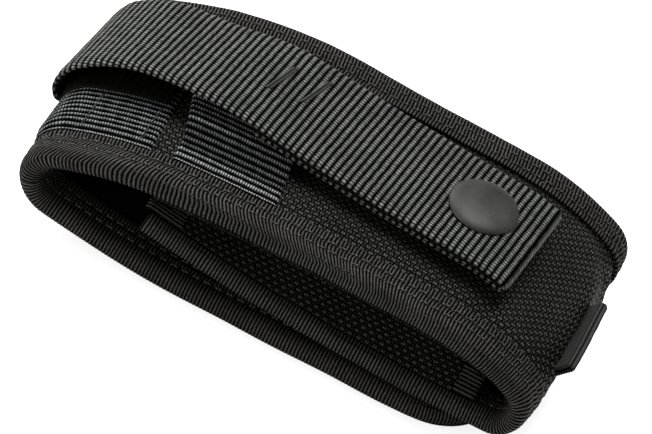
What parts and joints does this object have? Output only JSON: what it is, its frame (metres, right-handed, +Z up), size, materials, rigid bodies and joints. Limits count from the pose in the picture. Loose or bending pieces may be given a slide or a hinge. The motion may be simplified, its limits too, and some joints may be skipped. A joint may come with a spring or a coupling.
{
  "type": "multi tool belt sheath",
  "caption": "Padded nylon belt sheath for a folding multi tool, with a fold-over flap, bellows sides and a snap-closed carrying strap on its back.",
  "frame": {"origin": "middle of the sheath's box on the plane the closed flap rests on", "axes": "+X from the flap's hinge fold towards the bottom fold, +Y across the width, +Z up out of the back, towards the carrying strap"},
  "size_m": [0.1233, 0.06, 0.0374],
  "materials": {
    "ballistic_nylon": "coarse basket weave nylon, near black",
    "foam": "soft closed-cell padding, hidden",
    "lining": "smooth plain-weave lining",
    "binding_tape": "ribbed grosgrain tape",
    "webbing": "ribbed nylon webbing with a faint sheen",
    "hook_tape": "stiff hook tape",
    "loop_tape": "fuzzy loop tape",
    "thread": "bonded nylon thread",
    "snap_lacquer": "dark grey lacquer, satin",
    "snap_brass": "blackened metal"
  },
  "bodies": {
    "sheath": {"outer_shell": "ballistic_nylon", "side_gusset_near": "ballistic_nylon", "side_gusset_far": "ballistic_nylon", "foam_core": "foam", "inner_lining": "lining", "edge_binding_near": "binding_tape", "edge_binding_far": "binding_tape", "pocket_mouth_binding": "binding_tape", "gusset_end_tapes_near": "binding_tape", "gusset_end_tapes_far": "binding_tape", "pocket_loop_patch": "loop_tape", "cross_webbing_upper": "webbing", "cross_webbing_loop": "webbing", "strap_base": "webbing", "end_loop": "webbing", "snap_stud": "snap_brass", "snap_rivet": "snap_brass", "webbing_bar_tacks": "thread"},
    "flap": {"flap_shell": "ballistic_nylon", "flap_foam": "foam", "flap_lining": "lining", "flap_binding": "binding_tape", "flap_hook_patch": "hook_tape"},
    "strap": {"strap_webbing": "webbing", "snap_cap": "snap_lacquer", "snap_socket": "snap_brass", "strap_bar_tacks": "thread"}
  },
  "joints": [
    {"name": "flap_hinge", "type": "hinge", "parent": "sheath", "child": "flap", "pos_m": [-0.05049, 0, 0.0034], "axis": [0, 1, 0], "range_deg": [0, 150]},
    {"name": "strap_hinge", "type": "hinge", "parent": "sheath", "child": "strap", "pos_m": [-0.06103, 0.0066, 0.01709], "axis": [-0.0872, -0.9962, 0], "range_deg": [0, 150]}
  ]
}
